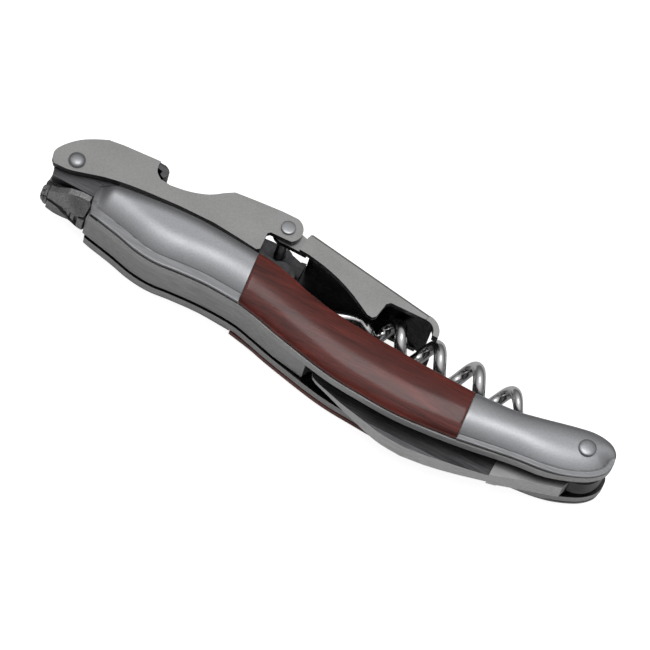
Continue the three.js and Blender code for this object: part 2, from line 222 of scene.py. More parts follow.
class Shader:
    """One node material, with short names for the nodes that the finishes use."""

    def __init__(self, name):
        self.material = bpy.data.materials.new(f"{name}_finish")
        self.material.use_nodes = True
        self.tree = self.material.node_tree
        self.surface = self.tree.nodes["Principled BSDF"]

    def add(self, kind, **values):
        node = self.tree.nodes.new(kind)
        for key, value in values.items():
            setattr(node, key, value)
        return node

    def link(self, source, target):
        self.tree.links.new(source, target)

    def places(self, stretch):
        """Object coordinates, stretched."""
        coordinates = self.add("ShaderNodeTexCoord")
        mapping = self.add("ShaderNodeMapping")
        mapping.inputs["Scale"].default_value = stretch
        self.link(coordinates.outputs["Object"], mapping.inputs["Vector"])
        return mapping.outputs["Vector"]

    def noise(self, stretch, scale=1.0, detail=3.0, distortion=0.0, roughness=0.5):
        node = self.add("ShaderNodeTexNoise")
        node.inputs["Scale"].default_value = scale
        node.inputs["Detail"].default_value = detail
        node.inputs["Roughness"].default_value = roughness
        node.inputs["Distortion"].default_value = distortion
        self.link(self.places(stretch), node.inputs["Vector"])
        return node.outputs["Fac"]

    def ramp(self, source, stops):
        node = self.add("ShaderNodeValToRGB")
        elements = node.color_ramp.elements
        while len(elements) < len(stops):
            elements.new(0.5)
        for element, (position, colour) in zip(elements, stops):
            element.position = position
            element.color = (*colour, 1.0)
        self.link(source, node.inputs["Fac"])
        return node.outputs["Color"]

    def multiply(self, first, second, amount):
        """One colour times another. The sockets are found by number, as their names are not unique."""
        node = self.add("ShaderNodeMix", data_type="RGBA", blend_type="MULTIPLY")
        factor, first_colour, second_colour = (node.inputs[i] for i in (0, 6, 7))
        factor.default_value = amount
        self.link(first, first_colour)
        self.link(second, second_colour)
        return node.outputs[2]

    def between(self, source, low, high):
        """Spreads a noise's usual span, 0.3 to 0.7, over low to high."""
        node = self.add("ShaderNodeMapRange")
        node.inputs["From Min"].default_value = 0.3
        node.inputs["From Max"].default_value = 0.7
        node.inputs["To Min"].default_value = low
        node.inputs["To Max"].default_value = high
        self.link(source, node.inputs["Value"])
        return node.outputs["Result"]

    def bump(self, source, distance, strength=1.0, under=None):
        node = self.add("ShaderNodeBump")
        node.inputs["Strength"].default_value = strength
        node.inputs["Distance"].default_value = distance
        self.link(source, node.inputs["Height"])
        if under is not None:
            self.link(under, node.inputs["Normal"])
        return node.outputs["Normal"]


def tinted(colour, factor):
    return tuple(min(1.0, channel * factor) for channel in colour)


def metal(name, colour, rough, grain, depth, spread=0.12, rough_spread=0.06):
    """Steel whose grain is noise stretched by grain (cycles per metre along X, Y and Z)."""
    shader = Shader(name)
    surface = shader.surface
    surface.inputs["Metallic"].default_value = 1.0
    fine = shader.noise(grain, detail=4.0, roughness=0.6)
    broad = shader.noise((90, 160, 160), detail=2.0)
    light, deep = tinted(colour, 1 + spread), tinted(colour, 1 - spread)
    shader.link(shader.ramp(fine, [(0.3, deep), (0.7, light)]), surface.inputs["Base Color"])
    shader.link(
        shader.between(broad, rough - rough_spread, rough + rough_spread),
        surface.inputs["Roughness"],
    )
    shader.link(shader.bump(fine, depth), surface.inputs["Normal"])
    return shader.material


def satin_steel(colours):
    return metal("satin_steel", colours.satin, 0.40, (3000, 3400, 3400), 1.6e-5, 0.09, 0.04)


def sheet_steel(colours):
    return metal("lever_sheet", colours.sheet, 0.50, (2600, 4200, 3300), 1.2e-5, 0.11, 0.05)


def band_steel(colours):
    return metal("bolster_band", tinted(colours.satin, 0.74), 0.42, (150, 4600, 4600), 1.2e-5, 0.16)


def liner_steel(colours):
    return metal("liner_steel", colours.liner, 0.42, (180, 4200, 4200), 4e-6, 0.16)


def spring_steel(colours):
    return metal("spring_steel", colours.spring, 0.45, (160, 3800, 3800), 6e-6, 0.22)


def blade_steel(colours):
    return metal("blade_steel", colours.blade, 0.38, (150, 3600, 3600), 5e-6, 0.16)


# Partly a real ground finish with lengthwise streaks, partly painted shade: the base is made darker from the
# inside-shade colour.
def grind_and_shade_finish(colours):
    return metal("grind_and_painted_shade", tinted(colours.dark, 3.8), 0.5, (160, 3000, 3000), 8e-6, 0.4)


# Painted shade on the liner's head end, the ornament's body, and the lever's tooth and lower rims.
def painted_shade_finish(colours):
    return metal("painted_shade_steel", tinted(colours.dark, 1.9), 0.46, (260, 3000, 3000), 1.6e-5, 0.35)


# Painted shade on inside faces, on the liner's worm lug and bay edges, and on the knife's round tang.
def inside_shade_finish(colours):
    return metal("inside_painted_shade", colours.dark, 0.30, (700, 900, 900), 3e-6, 0.3)


def pin_steel(colours):
    return metal("pin_steel", tinted(colours.satin, 0.92), 0.33, (2400, 2400, 2400), 5e-6, 0.1)


def worm_chrome(colours):
    return metal("worm_chrome", colours.chrome, 0.19, (500, 900, 900), 1e-6, 0.04, 0.04)


def cast_steel(colours):
    """Rough cast steel: dark in its pits, with a rubbed look on the high spots."""
    shader = Shader("cast_steel")
    surface = shader.surface
    surface.inputs["Metallic"].default_value = 1.0
    pits = shader.noise((3600, 3600, 3600), detail=4.0, roughness=0.6)
    patches = shader.noise((420, 420, 420), detail=3.0)
    stops = [
        (0.30, tinted(colours.cast, 0.55)),
        (0.52, colours.cast),
        (0.74, tinted(colours.cast, 1.4)),
    ]
    shader.link(shader.ramp(pits, stops), surface.inputs["Base Color"])
    shader.link(shader.between(patches, 0.34, 0.52), surface.inputs["Roughness"])
    shader.link(shader.bump(pits, 4e-5), surface.inputs["Normal"])
    return shader.material


def grip_wood(colours):
    """Dark red hardwood: long streaks, fine pores and a soft oiled sheen."""
    shader = Shader("grip_wood")
    surface = shader.surface
    streaks = shader.noise((34, 480, 480), detail=6.0, distortion=1.4, roughness=0.62)
    pores = shader.noise((260, 5200, 5200), detail=3.0, roughness=0.6)
    clouds = shader.noise((26, 110, 110), detail=2.0)
    middle = tuple((a + b) / 2 for a, b in zip(colours.wood_dark, colours.wood_light))
    stops = [
        (0.28, colours.wood_dark),
        (0.43, tinted(middle, 0.8)),
        (0.56, middle),
        (0.74, colours.wood_light),
    ]
    grain = shader.ramp(streaks, stops)
    pore_shade = shader.ramp(pores, [(0.36, (0.50, 0.46, 0.46)), (0.52, (1, 1, 1))])
    cloud_shade = shader.ramp(clouds, [(0.35, (0.72, 0.68, 0.70)), (0.65, (1.0, 1.0, 1.0))])
    porous = shader.multiply(grain, pore_shade, 0.75)
    shader.link(shader.multiply(porous, cloud_shade, 0.8), surface.inputs["Base Color"])
    shader.link(shader.between(streaks, 0.42, 0.33), surface.inputs["Roughness"])
    coarse = shader.bump(streaks, 4e-5, 0.6)
    shader.link(shader.bump(pores, 1.6e-5, 0.8, coarse), surface.inputs["Normal"])
    surface.inputs["Specular IOR Level"].default_value = 0.08
    surface.inputs["Coat Weight"].default_value = 0.85
    surface.inputs["Coat Roughness"].default_value = 0.14
    return shader.material


def material(name, finish):
    """The named material, made on first use."""
    found = bpy.data.materials.get(f"{name}_finish")
    if found is None:
        found = finish(bpy.context.scene.corkscrew_colours)
    return found


FINISHES = {
    "satin_steel": satin_steel,
    "bolster_band": band_steel,
    "painted_shade_steel": painted_shade_finish,
    "lever_sheet": sheet_steel,
    "liner_steel": liner_steel,
    "spring_steel": spring_steel,
    "blade_steel": blade_steel,
    "grind_and_painted_shade": grind_and_shade_finish,
    "inside_painted_shade": inside_shade_finish,
    "pin_steel": pin_steel,
    "worm_chrome": worm_chrome,
    "cast_steel": cast_steel,
    "grip_wood": grip_wood,
}


# Mesh helpers. Everything is modelled in millimetres and made metres at the end.


def finish_piece(bm, name, body, nodes, finishes, sharp=32):
    """Turns the bmesh into an object that rides on its body and stands for its CAD nodes."""
    bmesh.ops.translate(bm, vec=DRAWING, verts=bm.verts)
    bmesh.ops.scale(bm, vec=(MM, MM, MM), verts=bm.verts)
    mesh = bpy.data.meshes.new(name)
    bm.to_mesh(mesh)
    bm.free()
    for finish in finishes:
        mesh.materials.append(material(finish, FINISHES[finish]))
    mesh.shade_smooth()
    mesh.set_sharp_from_angle(angle=math.radians(sharp))
    piece = bpy.data.objects.new(name, mesh)
    bpy.context.scene.collection.objects.link(piece)
    even = piece.modifiers.new("even_shading", "WEIGHTED_NORMAL")
    even.keep_sharp = True
    even.weight = 100
    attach(piece, body)
    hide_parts(*nodes)
    return piece


def merged_copy(node):
    """A clean copy of a CAD node's shape: corners welded and flat faces whole."""
    bm = bmesh.new()
    bm.from_mesh(frame["nodes"][node].data)
    bmesh.ops.scale(bm, vec=(1 / MM, 1 / MM, 1 / MM), verts=bm.verts)
    bmesh.ops.translate(bm, vec=-DRAWING, verts=bm.verts)
    bmesh.ops.remove_doubles(bm, verts=bm.verts, dist=0.004)
    bmesh.ops.dissolve_limit(
        bm, angle_limit=math.radians(0.4), verts=bm.verts, edges=bm.edges, use_dissolve_boundaries=False
    )
    return bm


def round_edges(bm, edges, width, segments=2):
    bmesh.ops.bevel(
        bm,
        geom=edges,
        offset=width,
        offset_type="OFFSET",
        affect="EDGES",
        segments=segments,
        profile=0.5,
        material=-1,
        clamp_overlap=True,
        loop_slide=True,
    )


def sharp_edges(bm, angle=38, keep=lambda edge: True):
    limit = math.radians(angle)
    return [e for e in bm.edges if len(e.link_faces) == 2 and e.calc_face_angle(0) > limit and keep(e)]


def drawing_box(node):
    """Lowest and highest corner of a CAD node, in the drawing's millimetres."""
    return [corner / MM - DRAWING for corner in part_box(node)]


def middle_of(element):
    total = Vector()
    for vert in element.verts:
        total += vert.co
    return total / len(element.verts)


def turned(bm, place, profile, steps):
    """Spins a profile of (radius, height) points about an upright line through place."""
    before = set(bm.verts)
    verts = [bm.verts.new((place[0] + radius, place[1], height)) for radius, height in profile]
    edges = [bm.edges.new(pair) for pair in zip(verts, verts[1:])]
    if profile[0][0] > 0:
        edges.append(bm.edges.new((verts[-1], verts[0])))
    bmesh.ops.spin(
        bm,
        geom=verts + edges,
        cent=(place[0], place[1], 0),
        axis=(0, 0, 1),
        angle=math.tau,
        steps=steps,
        use_merge=True,
    )
    new = [v for v in bm.verts if v not in before]
    bmesh.ops.remove_doubles(bm, verts=new, dist=0.002)
    bmesh.ops.recalc_face_normals(bm, faces=bm.faces)


def smooth_line(points, count):
    """Evenly spaced points on a smooth curve through the given points."""
    points = [Vector(p) for p in points]
    padded = [2 * points[0] - points[1], *points, 2 * points[-1] - points[-2]]
    dense = []
    for i in range(1, len(padded) - 2):
        a, b, c, d = padded[i - 1 : i + 3]
        for k in range(16):
            t = k / 16
            square = (2 * a - 5 * b + 4 * c - d) * t * t
            cube = (3 * b - a - 3 * c + d) * t**3
            dense.append(0.5 * (2 * b + (c - a) * t + square + cube))
    dense.append(points[-1])
    lengths = [0.0]
    for a, b in zip(dense, dense[1:]):
        lengths.append(lengths[-1] + (b - a).length)
    result, at = [], 0
    for i in range(count):
        target = lengths[-1] * i / (count - 1)
        while at < len(lengths) - 2 and lengths[at + 1] < target:
            at += 1
        share = (target - lengths[at]) / max(1e-9, lengths[at + 1] - lengths[at])
        result.append(dense[at].lerp(dense[at + 1], share))
    return result


def gap_to(line, place):
    """Distance from a place to a line of points."""
    best = 1e9
    for a, b in zip(line, line[1:]):
        nearest, share = intersect_point_line(place, a, b)
        nearest = a if share < 0 else b if share > 1 else nearest
        best = min(best, (place - nearest.to_2d()).length)
    return best


def rounding(gap, width):
    """0 at width or more from the edge, 1 at the edge, along a quarter of an ellipse."""
    share = 1 - min(1.0, gap / width)
    return 1 - math.sqrt(max(0.0, 1 - share * share))


def brim(gap, width):
    """Like rounding, but standing nearly upright at the edge."""
    share = 1 - min(1.0, gap / width)
    return 1 - max(0.0, 1 - share**3) ** (1 / 3)


def ease(low, high, value):
    share = min(1.0, max(0.0, (value - low) / (high - low)))
    return share * share * (3 - 2 * share)


# Outlines that the grips share, seen from the side: (along, up).

BACK_EDGE = [
    (-49.3, -5.3),
    (-43, -6.6),
    (-38.2, -7.8),
    (-33.8, -8.2),
    (-29, -7.7),
    (-23, -7.3),
    (-15.96, -7.6),
    (-11, -8.6),
    (-6, -9.9),
    (5, -12.2),
    (13, -12.9),
    (21.5, -13.1),
    (32.85, -11.9),
    (44, -9.9),
    (50.2, -9.1),
    (54.5, -8),
    (58.6, -6),
    (60.9, -3.7),
    (61.6, -1.3),
]
WORM_EDGE = [
    (-50.3, 1.1),
    (-47.6, 2.2),
    (-41.5, 3.15),
    (-35, 3.9),
    (-28, 4.1),
    (-17.2, 3.45),
    (-13, 2.9),
    (-9, 1.9),
    (-5, 0.7),
    (1, -0.5),
    (8, -1.1),
    (20, -1.7),
    (32.0, -1.95),
    (40, -1.2),
    (45, 0),
    (52, 2),
    (56, 2.8),
    (59.2, 2.4),
    (61.1, 0.9),
    (61.6, -1.3),
]

# The points of each edge where the head bolster ends and the tail bolster starts.
HEAD_END, TAIL_START = 6, 12
WORM_HEAD_END, WORM_TAIL_START = 5, 12

# Rows of a bolster's grid that lie on the ledge along its back edge, and the ledge's greatest height.
LEDGE_ROWS = 5
LEDGE_TOP = 6.09

# Width of the joint between wood and bolster, and how far the back grip stands out past the front one.
HAIRLINE = 0.15
BACK_GRIP_OUT = 0.3


def crowned_plate(back, worm, height, foot, columns, rows, bow=0.0, ledge=0.0):
    """A grid stretched between two edges, raised to height, with walls down to a flat foot.

    The first few rows share out the ledge, so that its inner edge is one clean line.
    """
    bm = bmesh.new()
    bmesh.ops.create_grid(bm, x_segments=columns, y_segments=rows, size=1)
    back_line = smooth_line(back, columns + 1)
    worm_line = smooth_line(worm, columns + 1)
    for vert in bm.verts:
        column = round((vert.co.x + 1) / 2 * columns)
        row = round((vert.co.y + 1) / 2 * rows)
        across = (worm_line[column] - back_line[column]).length
        inner = min(0.6, ledge / max(0.01, across))
        if row <= LEDGE_ROWS and ledge:
            share = inner * row / LEDGE_ROWS
        else:
            past = LEDGE_ROWS if ledge else 0
            share = inner + (1 - inner) * (1 - math.cos(math.pi * (row - past) / (rows - past))) / 2
        place = back_line[column].lerp(worm_line[column], share)
        if column == 0:
            place.x -= bow * math.sin(math.pi * share)
        vert.co = (place.x, place.y, height(place, gap_to(back_line, place), gap_to(worm_line, place)))
    bmesh.ops.remove_doubles(bm, verts=bm.verts, dist=0.01)
    rim = [e for e in bm.edges if e.is_boundary]
    walls = bmesh.ops.extrude_edge_only(bm, edges=rim)["geom"]
    for vert in (g for g in walls if isinstance(g, bmesh.types.BMVert)):
        vert.co.z = foot
    under = [g for g in walls if isinstance(g, bmesh.types.BMEdge) and g.is_boundary]
    bmesh.ops.contextual_create(bm, geom=under)
    bmesh.ops.recalc_face_normals(bm, faces=bm.faces)
    return bm


def other_side(bm):
    """Turns a front piece into its back twin."""
    bmesh.ops.scale(bm, vec=(1, 1, -1), verts=bm.verts)
    bmesh.ops.reverse_faces(bm, faces=bm.faces)


# One operator for each group of pieces.


class MakeLiners(bpy.types.Operator):
    """Makes the two flat liners that every pivot runs through"""

    bl_idname = "corkscrew.make_liners"
    bl_label = "Liners"

    # The liner is painted dark, as painted shade, past the bolster's end, on the lug that carries the worm,
    # and along the worm's bay.
    HEAD_START, LUG_START, LUG_END, BAY_END = -47.5, -18.5, -3.0, 45

    def finish_of(self, face):
        """0 for bare steel, 1 for painted shade on the inside, the lug and the bay edges, 2 for painted shade
        on the head end.
        """
        place = middle_of(face)
        inner = face.normal.z * place.z < -0.5
        if place.x < self.HEAD_START and place.y > -5 and not inner:
            return 2
        edge = self.LUG_START < place.x < self.BAY_END and place.y > -3 and abs(face.normal.z) < 0.5
        lug = self.LUG_START < place.x < self.LUG_END and place.y > -4
        return 1 if inner or edge or lug else 0

    def execute(self, context):
        sizes = context.scene.corkscrew_sizes
        for side in ("front", "back"):
            bm = merged_copy(f"{side}_liner")
            for cut in (self.HEAD_START, self.LUG_START, self.LUG_END):
                everything = [*bm.verts, *bm.edges, *bm.faces]
                bmesh.ops.bisect_plane(bm, geom=everything, plane_co=(cut, 0, 0), plane_no=(1, 0, 0))
            for face in bm.faces:
                face.material_index = self.finish_of(face)
            round_edges(bm, sharp_edges(bm), sizes.edge_round / MM)
            finishes = ["liner_steel", "inside_painted_shade", "painted_shade_steel"]
            finish_piece(bm, f"{side}_liner_plate", "handle", [f"{side}_liner"], finishes)
        return {"FINISHED"}


class MakeSpring(bpy.types.Operator):
    """Makes the backspring between the liners"""

    bl_idname = "corkscrew.make_spring"
    bl_label = "Backspring"

    NARROWED = 0.93

    def execute(self, context):
        sizes = context.scene.corkscrew_sizes
        bm = merged_copy("backspring")
        bmesh.ops.scale(bm, vec=(1, 1, self.NARROWED), verts=bm.verts)
        round_edges(bm, sharp_edges(bm), sizes.edge_round / MM)
        finish_piece(bm, "brushed_backspring", "handle", ["backspring"], ["spring_steel"])
        return {"FINISHED"}


class MakeBolsters(bpy.types.Operator):
    """Makes the satin bolsters: head with a soft groove along its back, tail with a round end"""

    bl_idname = "corkscrew.make_bolsters"
    bl_label = "Bolsters"

    def head_height(self, place, back_gap, worm_gap):
        """A narrow ledge along the back edge, then a swelling crown that sinks to a low neck at the hinge."""
        share = min(1.0, max(0.0, back_gap - 1.7) / 5.4)
        swell = 1 - (1 - share) ** 2.3
        height = self.top - 1.95 * (1 - swell) - 1.3 * rounding(worm_gap, 2.6)
        neck = 0.3 + 0.7 * ease(-50.6, -47.2, place.x)
        return self.foot + 0.12 + (height - self.foot - 0.12) * neck

    def tail_height(self, place, back_gap, worm_gap):
        """A narrower ledge, and a crown that falls away towards the knife's end."""
        top = self.top - 0.8 * min(1.0, max(0.0, (place.x - 33) / 25))
        share = min(1.0, max(0.0, back_gap - 0.9) / 5.0)
        swell = 1 - (1 - share) ** 2.4
        return max(5.9, top - math.hypot((top - 5.9) * (1 - swell), rounding(worm_gap, 3.8)))

    def execute(self, context):
        sizes = context.scene.corkscrew_sizes
        self.top, self.foot = sizes.crown_top / MM, sizes.crown_foot / MM
        head = (BACK_EDGE[: HEAD_END + 1], WORM_EDGE[: WORM_HEAD_END + 1])
        tail = (BACK_EDGE[TAIL_START:], WORM_EDGE[WORM_TAIL_START:])
        for name, edges, height, bow, ledge, gap in (
            ("head", head, self.head_height, 0.5, 1.72, HAIRLINE),
            ("tail", tail, self.tail_height, 0.0, 0.92, -HAIRLINE),
        ):
            for side in ("front", "back"):
                bm = crowned_plate(*edges, height, self.foot, 72, 38, bow, ledge)
                shift_end(bm, gap)
                for face in bm.faces:
                    face.material_index = 1 if middle_of(face).z < LEDGE_TOP else 0
                round_edges(bm, sharp_edges(bm, 50), 0.1)
                if side == "back":
                    other_side(bm)
                finish_piece(
                    bm,
                    f"{side}_{name}_bolster_crown",
                    "handle",
                    [f"{side}_{name}_bolster"],
                    ["satin_steel", "bolster_band"],
                )
        return {"FINISHED"}


def shift_end(bm, gap, stretch=2.0):
    """Leaves a hairline joint beside the wood: on the +X end if the gap is positive, else on the -X end."""
    reach = max(v.co.x for v in bm.verts) if gap > 0 else min(v.co.x for v in bm.verts)
    for vert in bm.verts:
        if abs(vert.co.x - reach) < stretch:
            vert.co.x -= gap * (1 - abs(vert.co.x - reach) / stretch)


class MakeWood(bpy.types.Operator):
    """Makes the two wood grips"""

    bl_idname = "corkscrew.make_wood"
    bl_label = "Wood grips"

    def front_height(self, place, back_gap, worm_gap):
        """A long round shoulder to the back edge and a small one to the worm's edge."""
        return self.top - math.hypot(2.45 * rounding(back_gap, 7.4), 0.9 * rounding(worm_gap, 5.2))

    def back_height(self, place, back_gap, worm_gap):
        """A fuller shoulder, which ends in a nearly upright brim."""
        drop = 0.8 * rounding(back_gap, 8.2) + 1.5 * brim(back_gap, 1.1)
        return self.top - math.hypot(drop, 0.9 * rounding(worm_gap, 5.2))

    def execute(self, context):
        sizes = context.scene.corkscrew_sizes
        self.top = sizes.crown_top / MM
        edges = (BACK_EDGE[HEAD_END : TAIL_START + 1], WORM_EDGE[WORM_HEAD_END : WORM_TAIL_START + 1])
        for side, height in (("front", self.front_height), ("back", self.back_height)):
            bm = crowned_plate(*edges, height, sizes.crown_foot / MM, 84, 36)
            round_edges(bm, sharp_edges(bm, 50), 0.16)
            if side == "back":
                bmesh.ops.translate(bm, verts=bm.verts, vec=(0, -BACK_GRIP_OUT, 0))
                other_side(bm)
            finish_piece(
                bm, f"{side}_wood_grip", "handle", [f"{side}_wood_scale"], ["grip_wood"]
            )
        return {"FINISHED"}


class MakeBee(bpy.types.Operator):
    """Makes the cast insect ornament under the lever hinge"""

    bl_idname = "corkscrew.make_bee"
    bl_label = "Ornament"

    HEAD_X, WINGTIP_X = -60.6, -50.3

    def relief(self, bm, outline, thickness, rim, sink):
        """A small raised plate on the flat, with a soft rim round a slightly sunk middle."""
        verts = [bm.verts.new((x, 0, z)) for x, z in outline]
        face = bm.faces.new(verts)
        face.normal_update()
        raised = bmesh.ops.extrude_face_region(bm, geom=[face])["geom"]
        tops = [g for g in raised if isinstance(g, bmesh.types.BMVert)]
        bmesh.ops.translate(bm, verts=tops, vec=(0, -thickness, 0))
        top = [g for g in raised if isinstance(g, bmesh.types.BMFace)]
        bmesh.ops.inset_region(bm, faces=top, thickness=rim, depth=0, use_even_offset=True)
        bmesh.ops.inset_region(bm, faces=top, thickness=rim / 2, depth=0, use_even_offset=True)
        bmesh.ops.translate(bm, verts=list({v for f in top for v in f.verts}), vec=(0, sink, 0))

    def dome(self, x, z):
        """Height of the ornament's base surface."""
        along = ease(self.HEAD_X, self.WINGTIP_X, x)
        seam = -2.55 - 0.35 * min(1.0, (x - self.HEAD_X) / 3.7) - 2.05 * ease(-58, -49.6, x)
        rim = -2.75 + 1.15 * along
        return seam + (rim - seam) * min(1.0, abs(z) / 4.6) ** 2

    def execute(self, context):
        bm = merged_copy("bee_ornament")
        bmesh.ops.translate(bm, verts=bm.verts, vec=(0.1, 0.25, 0))
        round_edges(bm, sharp_edges(bm), 0.12)
        base_verts, base_faces = set(bm.verts), set(bm.faces)
        # The ornament's body takes the painted shade; only the raised reliefs show the cast steel.
        for face in base_faces:
            face.material_index = 1
        wing = [
            (-58.9, 0.5),
            (-56.8, 0.45),
            (-54.6, 1.1),
            (-54.4, 0.85),
            (-53.6, 1.05),
            (-53.4, 1.45),
            (-52.6, 1.3),
            (-51.4, 2.1),
            (-50.5, 2.4),
            (-50.25, 4.3),
            (-50.8, 4.75),
            (-52.8, 4.9),
            (-55.2, 4.7),
            (-57.2, 3.95),
            (-58.9, 3.2),
        ]
        head = [(-60.55, 0.15), (-59.2, 0.2), (-59.1, 2.9), (-59.7, 2.65), (-60.35, 1.7)]
        brow = [(-60.5, 0.5), (-59.9, 0.35), (-59.7, 1.9), (-60.2, 1.6)]
        for side in (1, -1):
            for outline, thickness, rim, sink in (
                (wing, 1.3, 0.14, 0.07),
                (head, 1.0, 0.12, 0.05),
                (brow, 1.25, 0.08, 0.02),
            ):
                self.relief(bm, [(x, side * z) for x, z in outline[::side]], thickness, rim, sink)
        for start, end, wide, thickness in (
            (-56.4, -55.5, 0.28, 0.75),
            (-55.3, -54.6, 0.42, 0.8),
            (-54.3, -53.6, 0.58, 0.85),
            (-53.3, -52.5, 0.78, 0.9),
            (-51.6, -50.3, 1.5, 1.2),
        ):
            bar = [(start, -wide), (end, -wide * 1.15), (end, wide * 1.15), (start, wide)]
            self.relief(bm, bar, thickness, 0.09, 0.03)
        for axis, places in ((0, range(-60, -50)), (2, (-4, -3, -2, -1, 0, 1, 2, 3, 4))):
            for place in places:
                normal = Vector((axis == 0, 0, axis == 2))
                faces = [f for f in bm.faces if f not in base_faces]
                parts = {*faces, *(e for f in faces for e in f.edges), *(v for f in faces for v in f.verts)}
                bmesh.ops.bisect_plane(bm, geom=list(parts), plane_co=normal * place, plane_no=normal)
        for vert in bm.verts:
            if vert not in base_verts:
                vert.co.y += self.dome(vert.co.x, vert.co.z) + 0.35
        bmesh.ops.recalc_face_normals(bm, faces=bm.faces)
        finishes = ["cast_steel", "painted_shade_steel"]
        finish_piece(bm, "cast_bee", "handle", ["bee_ornament"], finishes, 30)
        return {"FINISHED"}


# Larger faces of the lever's sheet, in square millimetres, are its flat webs.
WEB_AREA = 80

# The cap lifter's tooth, which takes the painted shade: between these along the tool, above the height and
# inside the half width.
TOOTH_START, TOOTH_END, TOOTH_FOOT, TOOTH_HALF = -43.7, -39, 8.6, 6.3


def folded_sheet(node, sizes):
    """A lever step: its CAD shape with rounded folds, eased edges, and painted shade on its inside, its tooth
    and its lower rims.
    """
    bm = merged_copy(node)
    wide = max(v.co.z for v in bm.verts)

    def spans(face):
        heights = [v.co.z for v in face.verts]
        return max(heights) - min(heights) > 2 * wide - 0.6

    def is_fold(edge):
        flat = any(abs(f.normal.z) > 0.9 for f in edge.link_faces)
        return flat and any(spans(f) for f in edge.link_faces) and abs(middle_of(edge).z) > wide - 0.1

    def is_inside(face):
        place = middle_of(face)
        turned_in = face.normal.z * place.z < -0.5
        under_web = abs(place.z) < 5 and not spans(face) and face.normal.y < 0.2 and abs(face.normal.z) < 0.5
        return turned_in or under_web

    def is_tooth(face):
        place = middle_of(face)
        among = TOOTH_START < place.x < TOOTH_END and place.y > TOOTH_FOOT and abs(place.z) < TOOTH_HALF
        return among and face.normal.x > -0.2

    def is_lower_rim(face):
        return abs(face.normal.z) < 0.5 and face.normal.y < -0.4 and abs(middle_of(face).z) > 4.5

    # Painted shade: inside faces, the tooth and the lower rims take dark steel in place of the sheet.
    for face in bm.faces:
        face.material_index = 1 if is_inside(face) else 2 if is_tooth(face) or is_lower_rim(face) else 0
    round_edges(bm, sharp_edges(bm, 60, is_fold), sizes.bend_radius / MM, 4)
    round_edges(bm, sharp_edges(bm, 50), 1.3 * sizes.edge_round / MM)
    bm.normal_update()
    # The tilted roundings of the painted-shade faces go back to plain sheet, so the painted shade stays on
    # the flat faces.
    for face in bm.faces:
        if face.material_index == 2 and face.normal.y < -0.2 and 0.25 < abs(face.normal.z) < 0.97:
            face.material_index = 0
    return bm


class MakeLever(bpy.types.Operator):
    """Makes the two folded steps of the lever"""

    bl_idname = "corkscrew.make_lever"
    bl_label = "Lever"

    def execute(self, context):
        sizes = context.scene.corkscrew_sizes
        for node, body, name in (
            ("lever_arm", "lever", "lever_first_step"),
            ("lever_foot", "foot", "lever_second_step"),
        ):
            bm = folded_sheet(node, sizes)
            finishes = ["lever_sheet", "inside_painted_shade", "painted_shade_steel"]
            piece = finish_piece(bm, name, body, [node], finishes)
            for face in piece.data.polygons:
                face.use_smooth = face.area < WEB_AREA * MM * MM
        return {"FINISHED"}


def rivet_profile(shaft, head, seat, rise, dome):
    """Half outline of a rivet with a rounded head at each end."""
    top = seat + rise
    cap = [(0, top)]
    for i in range(1, 9):
        angle = math.pi / 2 * i / 8
        cap.append((head * math.sin(angle) ** 0.9, top - dome + dome * math.cos(angle)))
    cap += [(head, seat + 0.08), (head - 0.08, seat), (shaft, seat)]
    return cap + [(radius, -height) for radius, height in reversed(cap)]


class MakePins(bpy.types.Operator):
    """Makes the rivets, the plain pins and the rings beside the pivots"""

    bl_idname = "corkscrew.make_pins"
    bl_label = "Rivets and pins"

    def execute(self, context):
        steps = context.scene.corkscrew_sizes.round_steps
        for name, body, node, shaft, head, seat, rise, dome in (
            ("lever_rivet", "handle", "lever_hinge_pin", 1.3, 1.65, 6.7, 0.8, 0.55),
            ("middle_rivet", "lever", "lever_middle_pin", 1.1, 1.45, 6.7, 0.45, 0.14),
            ("knife_rivet", "handle", "knife_pivot_pin", 1.5, 1.75, 7.2, 0.62, 0.3),
        ):
            low, high = drawing_box(node)
            bm = bmesh.new()
            turned(bm, (low + high) / 2, rivet_profile(shaft, head, seat, rise, dome), steps)
            finish_piece(bm, name, body, [node], ["pin_steel"])
        for name, node in (
            ("plain_head_pin", "spring_pin_head"),
            ("plain_middle_pin", "spring_pin_middle"),
            ("plain_worm_pin", "worm_pivot_pin"),
        ):
            low, high = drawing_box(node)
            radius, length, ease_off = (high.x - low.x) / 2, high.z, 0.12
            half = [(0, length), (radius - ease_off, length), (radius, length - ease_off)]
            bm = bmesh.new()
            turned(bm, (low + high) / 2, half + [(r, -z) for r, z in reversed(half)], steps)
            finish_piece(bm, name, "handle", [node], ["pin_steel"])
        for pivot, bore in (("worm_spacer", 1.3), ("knife_washer", 1.6)):
            for side in ("front", "back"):
                node = f"{pivot}_{side}"
                low, high = drawing_box(node)
                outer, ease_off = (high.x - low.x) / 2, 0.08
                ring = [
                    (bore, low.z),
                    (outer - ease_off, low.z),
                    (outer, low.z + ease_off),
                    (outer, high.z - ease_off),
                    (outer - ease_off, high.z),
                    (bore, high.z),
                ]
                bm = bmesh.new()
                turned(bm, (low + high) / 2, ring, steps)
                finish_piece(bm, f"{node}_ring", "handle", [node], ["pin_steel"])
        return {"FINISHED"}


